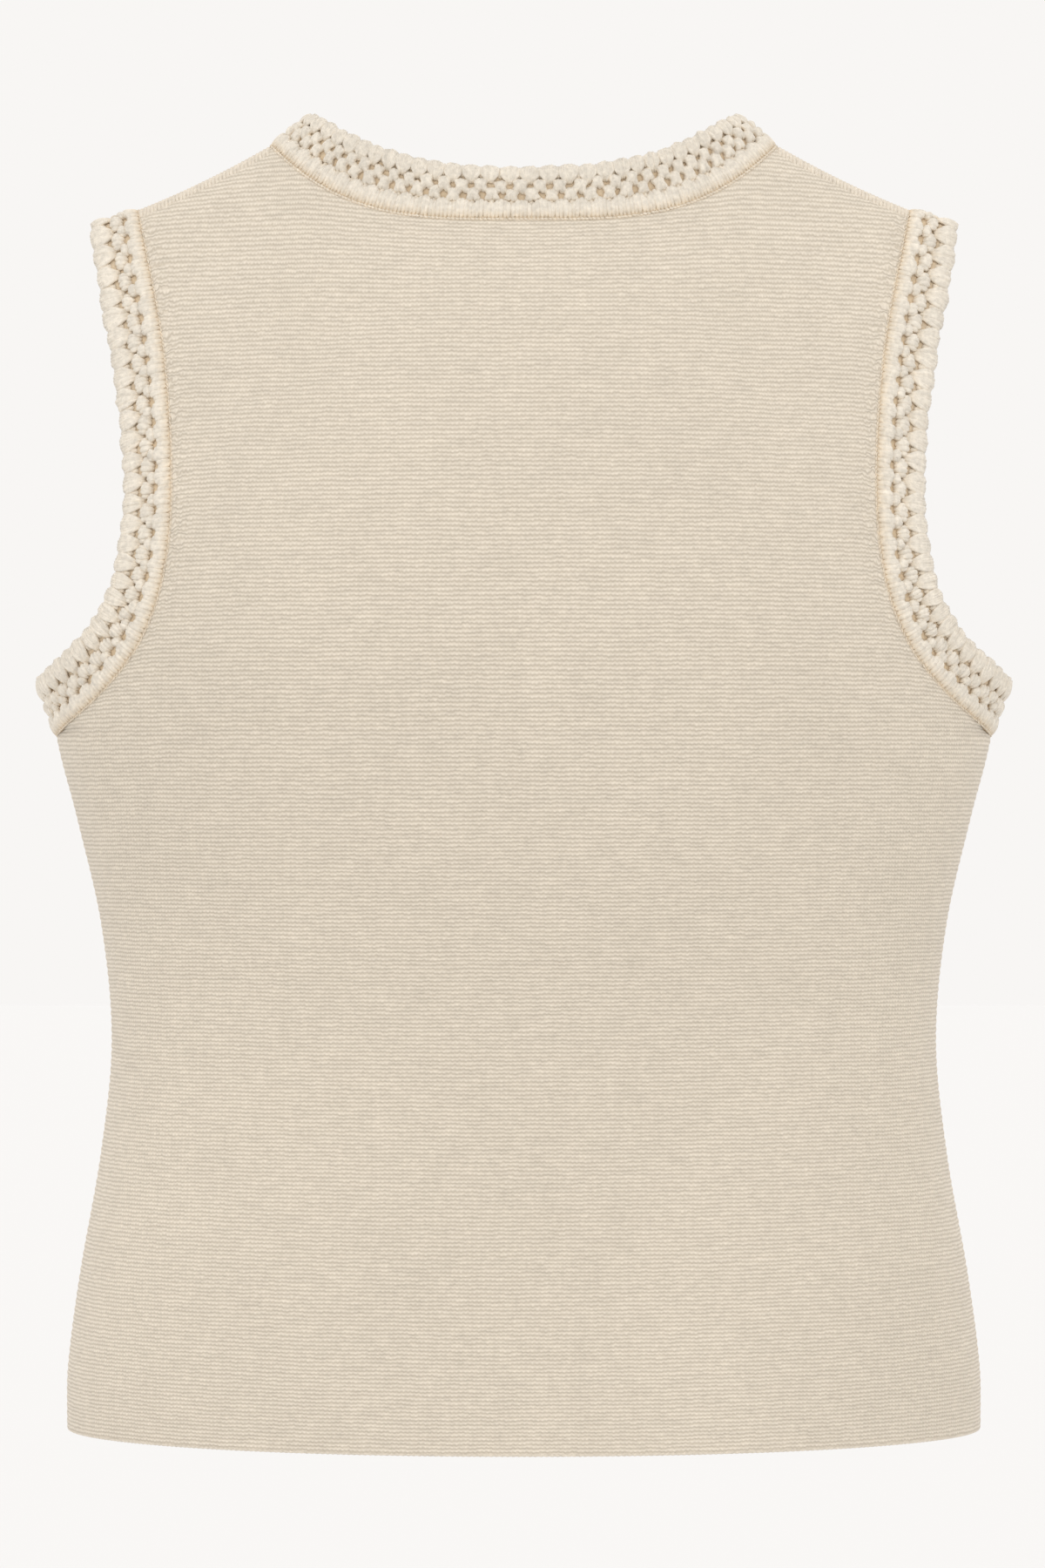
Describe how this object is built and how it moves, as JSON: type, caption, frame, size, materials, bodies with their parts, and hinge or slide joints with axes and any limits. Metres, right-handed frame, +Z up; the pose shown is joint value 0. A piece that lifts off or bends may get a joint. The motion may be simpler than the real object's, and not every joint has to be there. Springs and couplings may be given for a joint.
{
  "type": "sweater vest",
  "caption": "Sleeveless fine-knit pullover vest, hollow and filled out as if worn, with chunky crochet bands round the neck and armholes.",
  "frame": {"origin": "midway between the neck ends of the two shoulder seams, where the wearer's shoulders hold the vest up", "axes": "+Z up, -Y out of the middle of the back panel, +Y out of the middle of the front panel, +X to the wearer's right"},
  "size_m": [0.3638, 0.2186, 0.4895],
  "materials": {
    "knit": "matt fine cotton knit, purl side out",
    "crochet": "matt thick cotton yarn, crocheted"
  },
  "bodies": {
    "root": {"back_panel": "knit", "front_panel": "knit", "neck_band": "crochet", "armhole_band_left": "crochet", "armhole_band_right": "crochet"}
  },
  "joints": []
}
